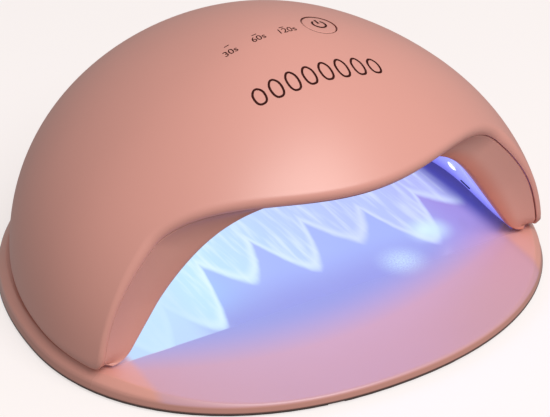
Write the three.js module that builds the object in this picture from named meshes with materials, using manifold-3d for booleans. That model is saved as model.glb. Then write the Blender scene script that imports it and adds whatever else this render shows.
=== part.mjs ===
// A domed UV LED nail lamp: a housing with a wide arched mouth, standing on a loose magnetic base tray.
// Millimetres. +X is to the right across the mouth, the mouth faces -Y, +Z is up.
// The origin is the middle of the base tray's outline, on the table.
import * as THREE from "three";
import { mergeVertices } from "three/addons/utils/BufferGeometryUtils.js";
import Module from "manifold-3d";

const wasm = await Module();
wasm.setup();

// ---------- Driving dimensions ----------

// Base tray: its outline is two half superellipses that meet at the widest line.
const BASE_HALF_WIDTH = 107;
const BASE_CENTRE_Y = -13;
const BASE_FRONT_REACH = 88.4;
const BASE_BACK_REACH = 114.4;
const BASE_ROUNDNESS = 2.15;
const FLOOR_FRONT_Z = 4.6; // top of the palm rest at its front edge
const FLOOR_REAR_Z = 8.0; // level floor under the housing
const FLOOR_RISE_FROM_Y = -97;
const FLOOR_RISE_TO_Y = -50;
const TRAY_WALL = 2.2;
const TRAY_BOTTOM_Z = 0.8;
const TAB_X = 27; // two small lugs that reach down through the bottom cover's edge
const TAB_WIDTH = 5;

// Dome: each level is two half ellipses, and the levels lean back a little as they rise.
const DOME_HALF_WIDTH = 106;
const DOME_FRONT_REACH = 92.6;
const DOME_BACK_REACH = 118.4;
const DOME_CENTRE_Y = -19.7;
const DOME_LEAN = 0.11;
const DOME_ZERO_Z = 7.95;
const DOME_HEIGHT = 100;
const DOME_SHOULDER = 1.5; // power of the plan radius in the dome's profile
const DOME_CROWN = 2.11; // power of the height in the dome's profile
const CROWN_BLUNTNESS = 0.15; // rounds the very top
const DOME_BOTTOM_Z = 9.0;
const DOME_WALL = 2.6;
const HEM_HEIGHT = 5; // the lowest part of the dome turns in
const HEM_TURN_IN = 1.9;

// Mouth: the dome's front edge seen from above, and the arch of the opening seen from the front.
const FEET_FRONT_Y = -53;
const VISOR_REACH = 26.4; // how far the middle of the edge stands in front of the feet
const VISOR_HALF_WIDTH = 76;
const MOUTH_INNER_Y = -49.6;
const VISOR_INNER_REACH = 17.7;
const VISOR_INNER_HALF_WIDTH = 72;
const ARCH_FOOT = [86, 9.5]; // x and z of the arch's foot
const ARCH_LEG = [54.7, 54.6]; // handles of the arch's curve
const ARCH_SHOULDER = [50, 69];
const ARCH_TOP_Z = 69;
const POLE_Z = 20; // rays across the bezel start at this height on the middle plane

// Reflector: a quarter bowl behind the arch.
const BOWL_MOUTH_Y = -45;
const BOWL_DEPTH = 115;
const BOWL_ROUNDNESS = 3.5;
const BOWL_BELLY = 5; // how far its sides bow out behind the mouth
const BOWL_WALL = 1.4;
const BOWL_BOTTOM_Z = 9.6;
const FLUTE_PITCH = 24;
const FLUTE_DEPTH = 3.2;

// Controls, in a row across the crown.
const CONTROL_Y = -13;
const BUTTON_X = 17;
const BUTTON_RADIUS = 6.6;
const BUTTON_GAP = 0.35;
const BUTTON_THICKNESS = 4.3; // from the dome's surface to the underside of its flange
const BUTTON_FLANGE = [8.2, 1]; // radius and thickness
const BUTTON_TRAVEL = 0.8;
const INDICATOR_X = [-21, -9.6, 1.6];
const INDICATOR_SIZE = [3.2, 1.1];

// Inside.
const LED_RADIUS = 3.2;
const LED_PITCH = 20;
const BOARD_THICKNESS = 1.2;
const BOARD_WIDTH = 12;
const BOARD_OFFSET = 2.6; // from the reflector's inner face to the board's face
const FRAME_Z = 9.4;
const FRAME_THICKNESS = 3;
const MAGNET_RADIUS = 3;
const JACK_Z = 26;
const JACK_SIZE = [11, 13, 10];
const JACK_HOLE_RADIUS = 3.1;
const CLEARANCE = 0.3;

// ---------- Finishes ----------

const finish = (color, roughness, metalness = 0) =>
  new THREE.MeshStandardMaterial({ color, roughness, metalness });
const ROSE_PLASTIC = finish(0xdb9d90, 0.55);
const SILVER_LINER = finish(0xe9edf2, 0.18, 0.9);
const DARK_PLASTIC = finish(0x3a3230, 0.6);
const BLACK_RUBBER = finish(0x222222, 0.85);
const NICKEL = finish(0xb9bcc0, 0.3, 1);
const STEEL = finish(0xa7abaf, 0.35, 1);
const BOARD_GREEN = finish(0x1f6b45, 0.5);
const BOARD_WHITE = finish(0xf0f0ec, 0.5);
const LED_VIOLET = finish(0xc9c2ff, 0.1);
const FROSTED = finish(0x6b3a30, 0.35);
const WIRE_RED = finish(0xb03028, 0.5);

// ---------- Building blocks ----------

// A closed solid from rings of points, each ring with the same even number of points, bottom ring first.
// Rings run anticlockwise seen from the last ring's side, and both end rings are closed by a strip across.
function loft(rings) {
  const count = rings[0].length;
  const positions = rings.flat().flatMap((p) => [p.x, p.y, p.z]);
  const index = [];
  const quad = (a, b, c, d) => index.push(a, b, c, a, c, d);
  for (let r = 0; r + 1 < rings.length; r++) {
    for (let i = 0; i < count; i++) {
      const j = (i + 1) % count;
      quad(r * count + i, r * count + j, (r + 1) * count + j, (r + 1) * count + i);
    }
  }
  const last = (rings.length - 1) * count;
  for (let i = 0; i + 1 < count / 2; i++) {
    const far = count - 1 - i;
    quad(i, far, far - 1, i + 1);
    quad(last + i, last + i + 1, last + far - 1, last + far);
  }
  const geometry = new THREE.BufferGeometry();
  geometry.setAttribute("position", new THREE.Float32BufferAttribute(positions, 3));
  geometry.setIndex(index);
  return geometry;
}

// The geometry as a manifold solid, with position as its only attribute and shared vertices merged.
function solid(geometry) {
  const bare = new THREE.BufferGeometry();
  bare.setAttribute("position", geometry.getAttribute("position"));
  bare.setIndex(geometry.getIndex());
  const merged = mergeVertices(bare, 1e-4);
  const corners = merged.getIndex().array;
  const kept = [];
  for (let i = 0; i < corners.length; i += 3) {
    const [a, b, c] = [corners[i], corners[i + 1], corners[i + 2]];
    if (a !== b && b !== c && c !== a) kept.push(a, b, c);
  }
  return new wasm.Manifold(
    new wasm.Mesh({
      numProp: 3,
      vertProperties: merged.getAttribute("position").array,
      triVerts: new Uint32Array(kept),
    }),
  );
}

function geometryOf(shape) {
  const mesh = shape.getMesh();
  const geometry = new THREE.BufferGeometry();
  geometry.setAttribute("position", new THREE.BufferAttribute(mesh.vertProperties, 3));
  geometry.setIndex(new THREE.BufferAttribute(mesh.triVerts, 1));
  geometry.computeVertexNormals();
  return geometry;
}

function piece(name, geometry, material) {
  const mesh = new THREE.Mesh(geometry, material);
  mesh.name = name;
  return mesh;
}

// An upright cylinder solid from z = low to z = high at (x, y).
function post(x, y, low, high, radius, sides = 20) {
  const geometry = new THREE.CylinderGeometry(radius, radius, high - low, sides);
  geometry.rotateX(Math.PI / 2);
  geometry.translate(x, y, (low + high) / 2);
  return solid(geometry);
}

function block(x, y, z, width, depth, height) {
  const geometry = new THREE.BoxGeometry(width, depth, height);
  geometry.translate(x, y, z);
  return solid(geometry);
}

const signedPower = (value, power) => Math.sign(value) * Math.abs(value) ** power;
const smooth = (value) => THREE.MathUtils.smoothstep(value, 0, 1);
const mirrored = (list) => list.flatMap(([x, y]) => [[x, y], [-x, y]]);
const bump = (x, halfWidth) => Math.max(0, 1 - (x / halfWidth) ** 2) ** 1.5;

// ---------- Base tray ----------

const BASE_SIDES = 88;

// A point of the base's outline, drawn in by inset.
function baseOutline(turn, inset) {
  const power = 2 / BASE_ROUNDNESS;
  const reach = Math.sin(turn) < 0 ? BASE_FRONT_REACH : BASE_BACK_REACH;
  const x = (BASE_HALF_WIDTH - inset) * signedPower(Math.cos(turn), power);
  const y = BASE_CENTRE_Y + (reach - inset) * signedPower(Math.sin(turn), power);
  return [x, y];
}

// 0 along the palm rest's front edge, 1 on the level floor.
const floorRise = (y) => smooth((y - FLOOR_RISE_FROM_Y) / (FLOOR_RISE_TO_Y - FLOOR_RISE_FROM_Y));
const floorHeight = (y) => FLOOR_FRONT_Z + (FLOOR_REAR_Z - FLOOR_FRONT_Z) * floorRise(y);

// A ring around the base; inset and height are numbers or functions of y.
function baseRing(inset, height) {
  const ring = [];
  for (let i = 0; i < BASE_SIDES; i++) {
    const turn = (2 * Math.PI * (i + 0.5)) / BASE_SIDES;
    const [, y0] = baseOutline(turn, 0);
    const [x, y] = baseOutline(turn, typeof inset === "function" ? inset(y0) : inset);
    ring.push(new THREE.Vector3(x, y, typeof height === "function" ? height(y) : height));
  }
  return ring;
}

function baseTray() {
  const underside = (y) => floorHeight(y) - TRAY_WALL;
  const rings = [
    baseRing(60, underside),
    baseRing(30, underside),
    baseRing(8, underside),
    baseRing(3.4, underside),
    baseRing(3, TRAY_BOTTOM_Z),
    baseRing(0.5, TRAY_BOTTOM_Z),
    baseRing(0, TRAY_BOTTOM_Z + 0.5),
    baseRing((y) => 0.3 + 0.3 * floorRise(y), (y) => 3.6 + 1.1 * floorRise(y)),
    baseRing((y) => 0.7 + 0.6 * floorRise(y), (y) => 4.1 + 1.3 * floorRise(y)),
    baseRing((y) => 1.1 + 2.3 * floorRise(y), (y) => floorHeight(y) - 0.3),
    baseRing((y) => 1.6 + 2.5 * floorRise(y), floorHeight),
    baseRing(12, floorHeight),
    baseRing(30, floorHeight),
    baseRing(60, floorHeight),
  ];
  let tray = solid(loft(rings));
  for (const side of [-1, 1]) {
    const [x, y] = [side * TAB_X, -97.1];
    const tab = new THREE.BoxGeometry(TAB_WIDTH, 1.8, 1.4);
    tab.rotateZ(side * 0.24);
    tab.translate(x, y, TRAY_BOTTOM_Z + 0.15);
    tray = tray.add(solid(tab));
  }
  for (const [x, y] of COVER_SCREWS) {
    tray = tray.add(post(x, y, 2.7, FLOOR_REAR_Z - 1, 4));
    tray = tray.subtract(post(x, y, 2, FLOOR_REAR_Z - 1.2, 1.6, 16));
  }
  return piece("base_tray", geometryOf(tray), ROSE_PLASTIC);
}

const COVER_SCREWS = mirrored([[48, -36], [52, 56]]);
const FEET = mirrored([[68, -44], [58, 66]]);
const FOOT_RADIUS = 7;
const COVER_TOP_Z = 2.2;

function bottomCover() {
  const rings = [
    baseRing(0.7, 0.25),
    baseRing(0.7, 0.6),
    baseRing(3.9, 0.6),
    baseRing(3.9, COVER_TOP_Z),
  ];
  let cover = solid(loft(rings));
  for (const side of [-1, 1]) {
    cover = cover.subtract(block(side * TAB_X, -97.4, 0.4, TAB_WIDTH + 1.4, 5.2, 2));
  }
  for (const [x, y] of FEET) {
    cover = cover.subtract(post(x, y, -1, 1.2, FOOT_RADIUS + CLEARANCE, 24));
  }
  for (const [x, y] of COVER_SCREWS) {
    cover = cover.subtract(post(x, y, -1, 3, 1.7, 16));
    cover = cover.subtract(post(x, y, -1, 1.4, 3.1, 16));
  }
  return piece("base_bottom_cover", geometryOf(cover), DARK_PLASTIC);
}

function rubberFoot(name, x, y) {
  const profile = [[0, 0], [FOOT_RADIUS - 0.4, 0], [FOOT_RADIUS, 0.4], [FOOT_RADIUS, 0.9], [0, 0.9]];
  const geometry = new THREE.LatheGeometry(profile.map(([r, z]) => new THREE.Vector2(r, z)), 28);
  const foot = piece(name, geometry, BLACK_RUBBER);
  foot.rotation.x = Math.PI / 2;
  foot.position.set(x, y, 0);
  return foot;
}

// A pan-head screw standing on its head; it points up the Z axis.
function screw(name, x, y, headZ, length, material = STEEL) {
  const [headRadius, headHeight, shankRadius] = [2.6, 1.0, 1.2];
  const profile = [
    [0, 0],
    [headRadius - 0.4, 0],
    [headRadius, 0.5],
    [headRadius, headHeight],
    [shankRadius, headHeight],
    [shankRadius, length - 1],
    [0, length],
  ];
  const geometry = new THREE.LatheGeometry(profile.map(([r, z]) => new THREE.Vector2(r, z)), 14);
  const mesh = piece(name, geometry, material);
  mesh.rotation.x = Math.PI / 2;
  mesh.position.set(x, y, headZ);
  return mesh;
}

function magnet(name, x, y, lowZ) {
  const geometry = new THREE.CylinderGeometry(MAGNET_RADIUS, MAGNET_RADIUS, 2, 20);
  const mesh = piece(name, geometry, NICKEL);
  mesh.rotation.x = Math.PI / 2;
  mesh.position.set(x, y, lowZ + 1);
  return mesh;
}

// ---------- Dome ----------

const DOME_SIDES = 84;

// How far the dome's hem turns in at this height.
const hem = (z) => HEM_TURN_IN * Math.max(0, 1 - (z - DOME_BOTTOM_Z) / HEM_HEIGHT) ** 2;

// Plan radius of the dome at a height, as a share of its reach: 1 at its foot and 0 at its crown.
function domeShare(z, inset) {
  const rise = Math.max(0, (z - DOME_ZERO_Z) / (DOME_HEIGHT - inset));
  const rounded = Math.max(0, 1 - rise ** DOME_CROWN) ** (1 / DOME_SHOULDER);
  return Math.sqrt(Math.max(0, rounded ** 2 - CROWN_BLUNTNESS ** 2));
}

// Positive inside the dome's surface drawn in by inset, negative outside.
function domeDepth(x, y, z, inset) {
  const share = domeShare(z, inset);
  const dy = y - DOME_CENTRE_Y - DOME_LEAN * (z - DOME_ZERO_Z);
  const reach = dy < 0 ? DOME_FRONT_REACH : DOME_BACK_REACH;
  const trim = inset + hem(z);
  return share - Math.hypot(x / (DOME_HALF_WIDTH - trim), dy / (reach - trim));
}

// A ring of the dome's surface at one height.
function domeRing(z, inset) {
  const share = domeShare(z, inset);
  const trim = inset + hem(z);
  const ring = [];
  for (let i = 0; i < DOME_SIDES; i++) {
    const turn = (2 * Math.PI * (i + 0.5)) / DOME_SIDES;
    const reach = Math.sin(turn) < 0 ? DOME_FRONT_REACH : DOME_BACK_REACH;
    const x = share * (DOME_HALF_WIDTH - trim) * Math.cos(turn);
    const y = DOME_CENTRE_Y + DOME_LEAN * (z - DOME_ZERO_Z) + share * (reach - trim) * Math.sin(turn);
    ring.push(new THREE.Vector3(x, y, z));
  }
  return ring;
}

// Height of the crown for this inset, where the plan radius comes to nothing.
function crownZ(inset) {
  const rise = (1 - CROWN_BLUNTNESS ** DOME_SHOULDER) ** (1 / DOME_CROWN);
  return DOME_ZERO_Z + rise * (DOME_HEIGHT - inset);
}

// The solid inside the dome's surface drawn in by inset, from a level up to the crown.
function domeSolid(inset, bottomZ) {
  const top = crownZ(inset);
  const levels = [0, 0.012, 0.03, 0.055, 0.13, 0.24, 0.36, 0.48, 0.6, 0.71, 0.8, 0.87, 0.925, 0.965, 0.99, 0.9992];
  const rings = levels.map((share) => domeRing(bottomZ + share * (top - bottomZ), inset));
  return solid(loft(rings));
}

// Height of the outer surface above a point of the plan.
function surfaceZ(x, y, inset = 0) {
  let [low, high] = [DOME_BOTTOM_Z, crownZ(inset)];
  for (let i = 0; i < 40; i++) {
    const middle = (low + high) / 2;
    if (domeDepth(x, y, middle, inset) > 0) low = middle;
    else high = middle;
  }
  return low;
}

// Outward normal of the outer surface above a point of the plan.
function surfaceNormal(x, y) {
  const step = 0.5;
  const slopeX = (surfaceZ(x + step, y) - surfaceZ(x - step, y)) / (2 * step);
  const slopeY = (surfaceZ(x, y + step) - surfaceZ(x, y - step)) / (2 * step);
  return new THREE.Vector3(-slopeX, -slopeY, 1).normalize();
}

const frontEdgeY = (x) => FEET_FRONT_Y - VISOR_REACH * bump(x, VISOR_HALF_WIDTH);
const innerEdgeY = (x) => MOUTH_INNER_Y - VISOR_INNER_REACH * bump(x, VISOR_INNER_HALF_WIDTH);

// Everything in front of the dome's wavy front edge.
function frontCutter() {
  const [farX, farY, steps] = [130, -150, 56];
  const outline = new THREE.Shape();
  outline.moveTo(-farX, farY);
  outline.lineTo(farX, farY);
  for (let i = 0; i <= steps; i++) {
    const x = farX * (1 - (2 * i) / steps);
    outline.lineTo(x, frontEdgeY(x));
  }
  outline.closePath();
  return solid(new THREE.ExtrudeGeometry(outline, { depth: 140, bevelEnabled: false }));
}

// A solid placed with its own Z axis along the dome's normal at a point of the crown.
function onCrown(geometry, x, y, sink) {
  const normal = surfaceNormal(x, y);
  const turn = new THREE.Quaternion().setFromUnitVectors(new THREE.Vector3(0, 0, 1), normal);
  const place = new THREE.Vector3(x, y, surfaceZ(x, y)).addScaledVector(normal, -sink);
  return geometry.applyMatrix4(new THREE.Matrix4().compose(place, turn, new THREE.Vector3(1, 1, 1)));
}

function disc(radius, height, sides = 40) {
  return new THREE.CylinderGeometry(radius, radius, height, sides).rotateX(Math.PI / 2);
}

const FRAME_SCREWS = mirrored([[93.4, -33], [50, 74]]);
const MAGNETS = mirrored([[94.6, -12], [22, 83]]);

function domeShell() {
  const outer = domeSolid(0, DOME_BOTTOM_Z);
  let shell = outer.subtract(domeSolid(DOME_WALL, DOME_BOTTOM_Z - 0.5));
  const bossSpace = domeSolid(1.2, DOME_BOTTOM_Z - 0.5);
  for (const [x, y] of FRAME_SCREWS) {
    shell = shell.add(post(x, y, FRAME_Z + FRAME_THICKNESS + CLEARANCE, 60, 4).intersect(bossSpace));
    shell = shell.subtract(post(x, y, FRAME_Z, 26, 1.6, 16));
  }
  shell = shell.subtract(frontCutter());
  shell = shell.subtract(solid(onCrown(disc(BUTTON_RADIUS + BUTTON_GAP, 14), BUTTON_X, CONTROL_Y, 0)));
  for (const x of INDICATOR_X) {
    const slot = new THREE.BoxGeometry(INDICATOR_SIZE[0] + 0.4, INDICATOR_SIZE[1] + 0.4, 14);
    shell = shell.subtract(solid(onCrown(slot, x, CONTROL_Y + 3.4, 0)));
  }
  const jackHole = new THREE.CylinderGeometry(4.6, 4.6, 30, 28);
  jackHole.translate(0, JACK_Y + JACK_SIZE[1] / 2, JACK_Z);
  shell = shell.subtract(solid(jackHole));
  return piece("dome_shell", geometryOf(shell), ROSE_PLASTIC);
}

// ---------- Front bezel ----------

// The point of the opening's arch at a share of the way from its right foot to its top.
function archPoint(share) {
  const curve = new THREE.CubicBezierCurve(
    new THREE.Vector2(...ARCH_FOOT),
    new THREE.Vector2(...ARCH_LEG),
    new THREE.Vector2(...ARCH_SHOULDER),
    new THREE.Vector2(0, ARCH_TOP_Z),
  );
  return curve.getPoint(share);
}

// Where the ray from the pole at this angle meets the inside of the dome, just behind its front edge.
function seamPoint(turn, inset, recess) {
  let [low, high] = [0, 140];
  for (let i = 0; i < 40; i++) {
    const middle = (low + high) / 2;
    const [x, z] = [middle * Math.cos(turn), POLE_Z + middle * Math.sin(turn)];
    if (domeDepth(x, frontEdgeY(x) + recess, z, inset) > 0) low = middle;
    else high = middle;
  }
  const x = low * Math.cos(turn);
  return new THREE.Vector3(x, frontEdgeY(x) + recess, POLE_Z + low * Math.sin(turn));
}

function frontBezel() {
  const steps = 52;
  const plate = 2.2;
  const lip = 2;
  const rings = [];
  for (let i = 0; i <= steps; i++) {
    const side = i <= steps / 2 ? 1 : -1;
    const share = i <= steps / 2 ? (2 * i) / steps : 2 - (2 * i) / steps;
    const arch = archPoint(share);
    const inner = new THREE.Vector3(arch.x, innerEdgeY(arch.x), arch.y);
    const turn = Math.atan2(arch.y - POLE_Z, arch.x);
    const outer = seamPoint(turn, DOME_WALL + CLEARANCE, 0.5);
    const outward = new THREE.Vector3(Math.cos(turn), 0, Math.sin(turn));
    const back = (point, depth) => point.clone().add(new THREE.Vector3(0, depth, 0));
    const middle = inner.clone().lerp(outer, 0.5).add(new THREE.Vector3(0, 0.9, 0));
    const innerBack = inner.clone().addScaledVector(outward, 1.6);
    const outerBack = outer.clone().addScaledVector(outward, -0.2);
    const ring = [
      outer,
      middle,
      inner,
      back(inner, lip + plate),
      back(innerBack, lip + plate),
      back(innerBack, plate),
      back(middle, plate),
      back(outerBack, plate),
    ];
    ring.forEach((point) => (point.x *= side));
    rings.push(ring.reverse());
  }
  return piece("front_bezel", geometryOf(solid(loft(rings))), ROSE_PLASTIC);
}

// ---------- Reflector ----------

const BOWL_SIDES = 48;
const BOWL_LEVELS = 12;

// Depth of the flutes in the back wall, as a share: they narrow to a point towards the roof.
function flute(x, back, level) {
  const wave = Math.abs(Math.cos((Math.PI * x) / FLUTE_PITCH));
  const tip = smooth((level - 0.35) / 0.6);
  return Math.max(0, wave - tip) * smooth((back - 0.5) / 0.4) * smooth(level / 0.1);
}

// A point of the bowl: turn runs from the right of the mouth round the back to the left, level from bottom to roof.
function bowlPoint(turn, level, wall) {
  const arch = archPoint(level);
  const halfWidth = level < 1 ? arch.x + 0.6 + wall : 0;
  const z = BOWL_BOTTOM_Z + (arch.y - ARCH_FOOT[1]) + wall * smooth((level - 0.3) / 0.5);
  const power = 2 / BOWL_ROUNDNESS;
  const back = Math.abs(Math.sin(turn)) ** power;
  const belly = BOWL_BELLY * Math.sin(Math.PI * back) ** 2 * (1 - level);
  const x = (halfWidth + belly) * signedPower(Math.cos(turn), power);
  const depth = BOWL_DEPTH * (1 - 0.36 * level ** 2) + FLUTE_DEPTH * flute(x, back, level) + wall;
  const mouthY = BOWL_MOUTH_Y - VISOR_INNER_REACH * bump(x, VISOR_INNER_HALF_WIDTH) * (1 - back);
  return new THREE.Vector3(x, mouthY + depth * back, z);
}

// Position on the bowl's inner face, the inward normal and the level direction along it.
function bowlFrame(turn, level) {
  const step = 0.01;
  const point = bowlPoint(turn, level, 0);
  const along = bowlPoint(turn + step, level, 0).sub(bowlPoint(turn - step, level, 0)).normalize();
  const up = bowlPoint(turn, level + step, 0).sub(bowlPoint(turn, level - step, 0)).normalize();
  const normal = up.cross(along).normalize();
  return { point, along, normal };
}

// The four LED boards: where their middles touch the bowl.
const BOARDS = [
  { name: "right", turn: 0.19, level: 0.16 },
  { name: "left", turn: Math.PI - 0.19, level: 0.16 },
  { name: "back", turn: Math.PI / 2, level: 0.24 },
];
const ROOF_BOARD_Y = 0;

// The matrix of a board's own frame: X along it, Z into the bowl, origin on the face that carries the LEDs.
function boardMatrix(board) {
  const { point, along, normal } = bowlFrame(board.turn, board.level);
  const x = along.clone().addScaledVector(normal, -along.dot(normal)).normalize();
  const y = normal.clone().cross(x);
  const matrix = new THREE.Matrix4().makeBasis(x, y, normal);
  return matrix.setPosition(point.addScaledVector(normal, -BOARD_OFFSET - BOWL_WALL));
}

function roofMatrix() {
  const matrix = new THREE.Matrix4().makeRotationX(Math.PI);
  return matrix.setPosition(0, ROOF_BOARD_Y, ARCH_TOP_Z + BOWL_WALL + BOARD_OFFSET);
}

const LED_PLACES = [-LED_PITCH, 0, LED_PITCH];

function reflector() {
  const rings = [];
  for (let level = 0; level <= BOWL_LEVELS; level++) {
    const share = level / BOWL_LEVELS;
    const ring = [];
    for (let i = 0; i <= BOWL_SIDES; i++) ring.push(bowlPoint((Math.PI * i) / BOWL_SIDES, share, BOWL_WALL));
    for (let i = BOWL_SIDES; i >= 0; i--) ring.push(bowlPoint((Math.PI * i) / BOWL_SIDES, share, 0));
    rings.push(ring);
  }
  // The top ring lies in the middle plane, where its two halves meet.
  let bowl = solid(loft(rings));
  for (const matrix of [...BOARDS.map(boardMatrix), roofMatrix()]) {
    for (const x of LED_PLACES) {
      const hole = disc(LED_RADIUS + 0.5, 30, 20).translate(x, 0, 10);
      bowl = bowl.subtract(solid(hole.applyMatrix4(matrix)));
    }
  }
  return piece("reflector_liner", geometryOf(bowl), SILVER_LINER);
}

// An LED: a square foot under a domed lens, standing on z = 0.
function led(name) {
  const profile = [[0, 0.15], [LED_RADIUS, 0.15], [LED_RADIUS, 3.6]];
  for (const angle of [20, 45, 70]) {
    const turn = THREE.MathUtils.degToRad(angle);
    profile.push([LED_RADIUS * Math.cos(turn), 3.6 + 1.9 * Math.sin(turn)]);
  }
  profile.push([0, 5.5]);
  const geometry = new THREE.LatheGeometry(profile.map(([r, z]) => new THREE.Vector2(r, z)), 16);
  geometry.rotateX(Math.PI / 2);
  return piece(name, geometry, LED_VIOLET);
}

function ledBoard(name, matrix, firstLed) {
  const group = new THREE.Group();
  group.applyMatrix4(matrix);
  const size = [2 * LED_PITCH + BOARD_WIDTH, BOARD_WIDTH, BOARD_THICKNESS];
  const board = piece("led_board_" + name, new THREE.BoxGeometry(...size), BOARD_WHITE);
  board.position.z = -BOARD_THICKNESS / 2 - 0.15;
  group.add(board);
  LED_PLACES.forEach((x, i) => {
    const lamp = led("uv_led_" + String(firstLed + i).padStart(2, "0"));
    lamp.position.x = x;
    group.add(lamp);
  });
  return group;
}

// ---------- Housing frame, electronics ----------

// A half-turn outline of an ellipse-like dome section, drawn in by inset, from the right foot round to the left.
function frameOutline(inset) {
  const points = [];
  const ring = domeRing(FRAME_Z + FRAME_THICKNESS / 2, inset + 1.2);
  const frontY = BOWL_MOUTH_Y + 1;
  const start = ring.findIndex((p) => p.x > 0 && p.y > frontY && p.y < 0);
  const right = ring.filter((p, i) => i >= start && p.y > frontY && p.x > 0 && i > DOME_SIDES / 2);
  const rest = ring.filter((p, i) => i <= DOME_SIDES / 2 || p.x < 0).filter((p) => p.y > frontY);
  points.push(...right, ...rest);
  return points.map((p) => new THREE.Vector2(p.x, p.y));
}

function bottomFrame() {
  const outline = new THREE.Shape(frameOutline(DOME_WALL + CLEARANCE));
  const inner = [];
  for (let i = BOWL_SIDES; i >= 0; i--) {
    const p = bowlPoint((Math.PI * i) / BOWL_SIDES, 0, BOWL_WALL + 4 * CLEARANCE);
    inner.push(new THREE.Vector2(p.x, p.y));
  }
  for (const p of inner) outline.lineTo(p.x, p.y);
  outline.closePath();
  const extruded = new THREE.ExtrudeGeometry(outline, { depth: FRAME_THICKNESS, bevelEnabled: false });
  let frame = solid(extruded.translate(0, 0, FRAME_Z));
  for (const [x, y] of MAGNETS) {
    frame = frame.subtract(post(x, y, FRAME_Z + 0.7, FRAME_Z + 5, MAGNET_RADIUS + CLEARANCE, 24));
  }
  for (const [x, y] of FRAME_SCREWS) {
    frame = frame.subtract(post(x, y, FRAME_Z - 1, FRAME_Z + 5, 1.6, 16));
    frame = frame.subtract(post(x, y, FRAME_Z - 1, FRAME_Z + 1.6, 3.1, 16));
  }
  return piece("housing_bottom_frame", geometryOf(frame), DARK_PLASTIC);
}

// The push button: a cap that follows the dome, with a skirt flange that keeps it in.
function powerButton() {
  const cap = solid(onCrown(disc(BUTTON_RADIUS, 8), BUTTON_X, CONTROL_Y, 0));
  const [flangeRadius, flangeHeight] = BUTTON_FLANGE;
  const layer = domeSolid(0.1, DOME_BOTTOM_Z).subtract(domeSolid(BUTTON_THICKNESS - 0.4, DOME_BOTTOM_Z - 1));
  const flange = disc(flangeRadius, flangeHeight);
  const keeper = solid(onCrown(flange, BUTTON_X, CONTROL_Y, BUTTON_THICKNESS - flangeHeight / 2));
  return piece("power_button", geometryOf(cap.intersect(layer).add(keeper)), ROSE_PLASTIC);
}

function indicator(name, x) {
  const geometry = new THREE.BoxGeometry(INDICATOR_SIZE[0], INDICATOR_SIZE[1], 3);
  return piece(name, onCrown(geometry, x, CONTROL_Y + 3.4, 1.55), FROSTED);
}

// Control electronics hang level under the button row.
function controls() {
  const group = new THREE.Group();
  const normal = surfaceNormal(BUTTON_X, CONTROL_Y);
  const turn = new THREE.Quaternion().setFromUnitVectors(new THREE.Vector3(0, 0, 1), normal);
  const surface = new THREE.Vector3(BUTTON_X, CONTROL_Y, surfaceZ(BUTTON_X, CONTROL_Y));
  const under = (depth) => surface.clone().addScaledVector(normal, -depth);
  const plunger = piece("switch_plunger", disc(1.7, 1.6, 20), DARK_PLASTIC);
  plunger.position.copy(under(BUTTON_THICKNESS + 0.3 + 0.8));
  plunger.quaternion.copy(turn);
  const bodyHeight = 4.6;
  const body = piece("tact_switch", new THREE.BoxGeometry(6, 6, bodyHeight), STEEL);
  body.position.copy(under(BUTTON_THICKNESS + 0.3 + 1.6 + BUTTON_TRAVEL + 0.2 + bodyHeight / 2));
  body.quaternion.copy(turn);
  const board = piece("control_board", new THREE.BoxGeometry(66, 22, 1.6), BOARD_GREEN);
  board.position.set(2, CONTROL_Y, 89);
  group.add(plunger, body, board);
  return group;
}

const JACK_Y = 82;

function dcJack() {
  const [width, depth, height] = JACK_SIZE;
  const collar = new THREE.CylinderGeometry(4.3, 4.3, 5, 28).translate(0, JACK_Y + depth / 2 + 2.4, JACK_Z);
  const body = block(0, JACK_Y, JACK_Z, width, depth, height).add(solid(collar));
  const bore = new THREE.CylinderGeometry(JACK_HOLE_RADIUS, JACK_HOLE_RADIUS, 14, 28);
  bore.translate(0, JACK_Y + depth / 2 + 2.4, JACK_Z);
  return piece("dc_jack", geometryOf(body.subtract(solid(bore))), BLACK_RUBBER);
}

// ---------- Assembly ----------

const lamp = new THREE.Group();
lamp.name = "uv_led_nail_lamp";

const CORNERS = ["front_right", "front_left", "back_right", "back_left"];
lamp.add(baseTray(), bottomCover());
FEET.forEach(([x, y], i) => lamp.add(rubberFoot("base_foot_" + CORNERS[i], x, y)));
COVER_SCREWS.forEach(([x, y], i) => lamp.add(screw("cover_screw_" + CORNERS[i], x, y, 0.35, 6)));
MAGNETS.forEach(([x, y], i) => lamp.add(magnet("base_magnet_" + CORNERS[i], x, y, 3.4)));

const housing = new THREE.Group();
housing.add(domeShell(), frontBezel(), reflector(), bottomFrame(), powerButton(), controls(), dcJack());
["indicator_30s", "indicator_60s", "indicator_120s"].forEach((name, i) => {
  housing.add(indicator(name, INDICATOR_X[i]));
});
BOARDS.forEach((board, i) => housing.add(ledBoard(board.name, boardMatrix(board), 1 + 3 * i)));
housing.add(ledBoard("roof", roofMatrix(), 10));
MAGNETS.forEach(([x, y], i) => housing.add(magnet("housing_magnet_" + CORNERS[i], x, y, FRAME_Z + 0.9)));
FRAME_SCREWS.forEach(([x, y], i) => housing.add(screw("frame_screw_" + CORNERS[i], x, y, FRAME_Z + 0.3, 12)));
lamp.add(housing);

export default lamp;
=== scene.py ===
import math

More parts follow.
